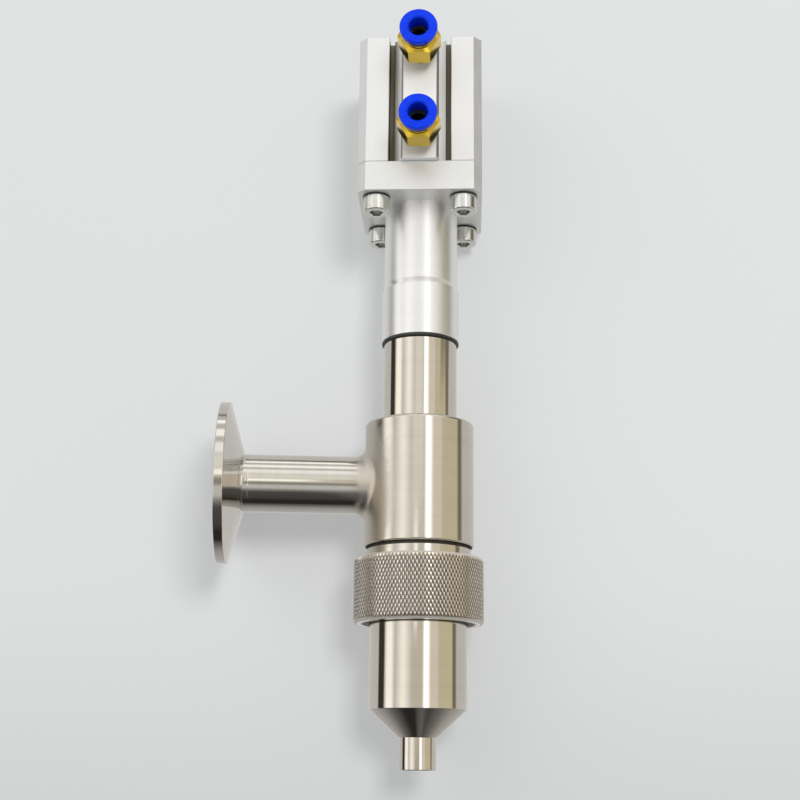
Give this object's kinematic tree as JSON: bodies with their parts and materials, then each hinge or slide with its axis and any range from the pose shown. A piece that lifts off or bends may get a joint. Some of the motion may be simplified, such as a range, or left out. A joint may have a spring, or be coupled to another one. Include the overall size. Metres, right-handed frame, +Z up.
{
  "type": "filling nozzle",
  "caption": "Pneumatic filling nozzle: conical spout, knurled union nut, side inlet with clamp ferrule, stem tube and a square compact air cylinder with push-in hose fittings.",
  "frame": {"origin": "centre of the spout's end face, where the product leaves", "axes": "+Z runs up the stem to the air cylinder, the air ports face -Y, and the inlet branch points to -X, turned 5.4 degrees towards -Y"},
  "size_m": [0.0845, 0.0589, 0.2324],
  "materials": {
    "polished_steel": "turned and polished stainless steel",
    "body_steel": "turned stainless steel, brushed round the weld",
    "knurled_steel": "diamond knurled stainless steel",
    "satin_aluminium": "fine turned satin aluminium",
    "milled_aluminium": "milled aluminium with fine upright marks",
    "anodised_aluminium": "clear anodised extrusion",
    "plated_steel": "zinc plated steel",
    "stem_steel": "ground and polished stainless steel",
    "spring_steel": "dark phosphated spring steel",
    "black_rubber": "moulded black rubber",
    "white_gasket": "white sealing plastic",
    "white_plastic": "turned white PTFE",
    "bronze": "sintered bronze",
    "brass": "bright turned brass",
    "blue_plastic": "glossy blue plastic"
  },
  "bodies": {
    "housing": {"valve_body": "body_steel", "inlet_tube": "polished_steel", "inlet_ferrule": "polished_steel", "stem_seal": "black_rubber", "lower_guide": "white_plastic", "upper_guide": "white_plastic", "stem_wiper": "black_rubber", "stem_tube": "polished_steel", "tube_oring": "black_rubber", "black_ring": "black_rubber", "collar": "satin_aluminium", "adapter_sleeve": "satin_aluminium", "flange_plate": "milled_aluminium", "flange_screws": "plated_steel", "screw_washers": "black_rubber", "cylinder_barrel": "anodised_aluminium", "front_cover": "anodised_aluminium", "rod_bush": "bronze", "rod_seal": "black_rubber", "rear_cover": "anodised_aluminium", "front_circlip": "spring_steel", "rear_circlip": "spring_steel", "front_cover_oring": "black_rubber", "rear_cover_oring": "black_rubber", "lower_fitting_body": "brass", "lower_fitting_washer": "white_gasket", "lower_hose_seal": "black_rubber", "lower_grip_ring": "spring_steel", "lower_fitting_retainer": "brass", "upper_fitting_body": "brass", "upper_fitting_washer": "white_gasket", "upper_hose_seal": "black_rubber", "upper_grip_ring": "spring_steel", "upper_fitting_retainer": "brass"},
    "stem": {"piston": "anodised_aluminium", "piston_seal": "black_rubber", "wear_ring": "white_plastic", "piston_screw": "plated_steel", "piston_rod": "stem_steel", "rod_coupling": "plated_steel", "coupling_locknut": "plated_steel", "valve_plug": "white_plastic", "plug_oring": "black_rubber", "valve_stem": "stem_steel"},
    "nozzle": {"nozzle_body": "polished_steel", "nozzle_gasket": "white_gasket"},
    "nut": {"knurled_nut": "knurled_steel"},
    "lower_release": {"lower_release_ring": "blue_plastic"},
    "upper_release": {"upper_release_ring": "blue_plastic"}
  },
  "joints": [
    {"name": "stem_lift", "type": "slide", "parent": "housing", "child": "stem", "axis": [0, 0, 1], "range_m": [0, 0.02]},
    {"name": "nozzle_drop", "type": "slide", "parent": "housing", "child": "nozzle", "axis": [0, 0, -1], "range_m": [0, 0.01]},
    {"name": "nut_turn", "type": "hinge", "parent": "nozzle", "child": "nut", "pos_m": [0, 0, 0.0431], "axis": [0, 0, -1], "range_deg": [0, 1800]},
    {"name": "lower_release_press", "type": "slide", "parent": "housing", "child": "lower_release", "axis": [0, 1, 0], "range_m": [0, 0.0015], "stiffness_N_per_m": 800, "springref_m": -0.001},
    {"name": "upper_release_press", "type": "slide", "parent": "housing", "child": "upper_release", "axis": [0, 1, 0], "range_m": [0, 0.0015], "stiffness_N_per_m": 800, "springref_m": -0.001}
  ],
  "couplings": [
    {"joint": "nut_turn", "follows": "nozzle_drop", "rad_per_m": 3141.6}
  ]
}
